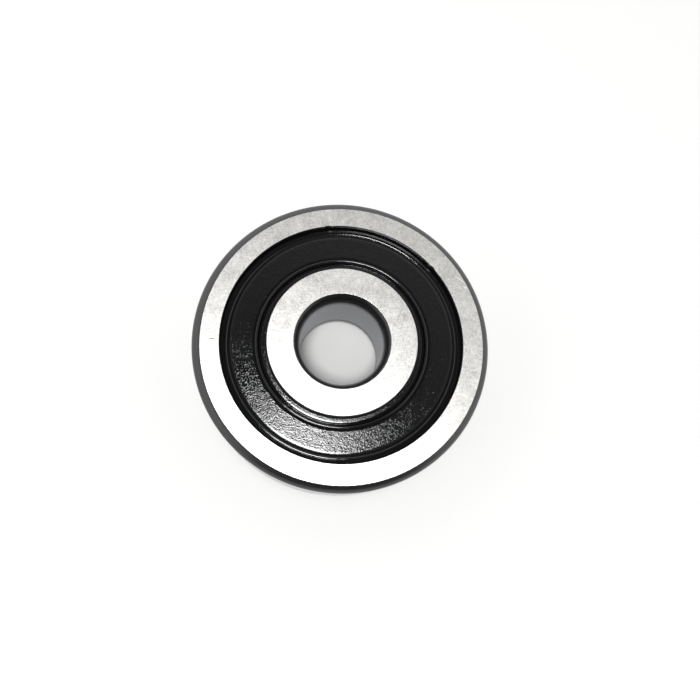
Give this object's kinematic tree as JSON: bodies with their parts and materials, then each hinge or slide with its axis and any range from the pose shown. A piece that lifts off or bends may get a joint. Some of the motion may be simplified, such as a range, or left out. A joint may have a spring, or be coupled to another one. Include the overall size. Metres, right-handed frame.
{
  "type": "cam follower",
  "caption": "Yoke-type cam follower: a sealed ball bearing whose thick ground outer ring is the roller, with black rubber seals and a plain bore for its pin.",
  "frame": {"origin": "centre of the assembly: on the axis of rotation, half way between the two faces", "axes": "+Z along the axis of rotation, out of the front face; +X passes through the centre of ball_1"},
  "size_m": [0.035, 0.035, 0.011],
  "materials": {
    "ring_steel": "hardened bearing steel, ground faces, tread and bore, with turned dark-grey corners",
    "ball_steel": "lapped and polished bearing steel",
    "cage_steel": "pressed and tumbled low-carbon steel",
    "plate_steel": "cold-rolled sheet steel",
    "seal_rubber": "moulded nitrile rubber, glossy with a fine orange-peel grain on the flat"
  },
  "bodies": {
    "inner_ring": {"inner_ring": "ring_steel"},
    "outer_ring": {"outer_ring": "ring_steel", "seal_rubber_front": "seal_rubber", "seal_rubber_rear": "seal_rubber", "seal_plate_front": "plate_steel", "seal_plate_rear": "plate_steel"},
    "cage": {"cage_half_front": "cage_steel", "cage_half_rear": "cage_steel", "cage_rivet_1": "cage_steel", "cage_rivet_2": "cage_steel", "cage_rivet_3": "cage_steel", "cage_rivet_4": "cage_steel", "cage_rivet_5": "cage_steel", "cage_rivet_6": "cage_steel", "cage_rivet_7": "cage_steel"},
    "ball_1": {"ball_1": "ball_steel"},
    "ball_2": {"ball_2": "ball_steel"},
    "ball_3": {"ball_3": "ball_steel"},
    "ball_4": {"ball_4": "ball_steel"},
    "ball_5": {"ball_5": "ball_steel"},
    "ball_6": {"ball_6": "ball_steel"},
    "ball_7": {"ball_7": "ball_steel"}
  },
  "joints": [
    {"name": "outer_spin", "type": "hinge", "parent": "inner_ring", "child": "outer_ring", "pos_m": [0, 0, 0], "axis": [0, 0, 1], "continuous": true},
    {"name": "cage_orbit", "type": "hinge", "parent": "inner_ring", "child": "cage", "pos_m": [0, 0, 0], "axis": [0, 0, 1], "continuous": true},
    {"name": "ball_1_spin", "type": "hinge", "parent": "cage", "child": "ball_1", "pos_m": [0.01125, 0, 0], "axis": [0, 0, 1], "continuous": true},
    {"name": "ball_2_spin", "type": "hinge", "parent": "cage", "child": "ball_2", "pos_m": [0.00701, 0.0088, 0], "axis": [0, 0, 1], "continuous": true},
    {"name": "ball_3_spin", "type": "hinge", "parent": "cage", "child": "ball_3", "pos_m": [-0.0025, 0.01097, 0], "axis": [0, 0, 1], "continuous": true},
    {"name": "ball_4_spin", "type": "hinge", "parent": "cage", "child": "ball_4", "pos_m": [-0.01014, 0.00488, 0], "axis": [0, 0, 1], "continuous": true},
    {"name": "ball_5_spin", "type": "hinge", "parent": "cage", "child": "ball_5", "pos_m": [-0.01014, -0.00488, 0], "axis": [0, 0, 1], "continuous": true},
    {"name": "ball_6_spin", "type": "hinge", "parent": "cage", "child": "ball_6", "pos_m": [-0.0025, -0.01097, 0], "axis": [0, 0, 1], "continuous": true},
    {"name": "ball_7_spin", "type": "hinge", "parent": "cage", "child": "ball_7", "pos_m": [0.00701, -0.0088, 0], "axis": [0, 0, 1], "continuous": true}
  ],
  "couplings": [
    {"joint": "cage_orbit", "follows": "outer_spin", "ratio": 0.64111},
    {"joint": "ball_1_spin", "follows": "outer_spin", "ratio": 1.6305},
    {"joint": "ball_2_spin", "follows": "outer_spin", "ratio": 1.6305},
    {"joint": "ball_3_spin", "follows": "outer_spin", "ratio": 1.6305},
    {"joint": "ball_4_spin", "follows": "outer_spin", "ratio": 1.6305},
    {"joint": "ball_5_spin", "follows": "outer_spin", "ratio": 1.6305},
    {"joint": "ball_6_spin", "follows": "outer_spin", "ratio": 1.6305},
    {"joint": "ball_7_spin", "follows": "outer_spin", "ratio": 1.6305}
  ]
}
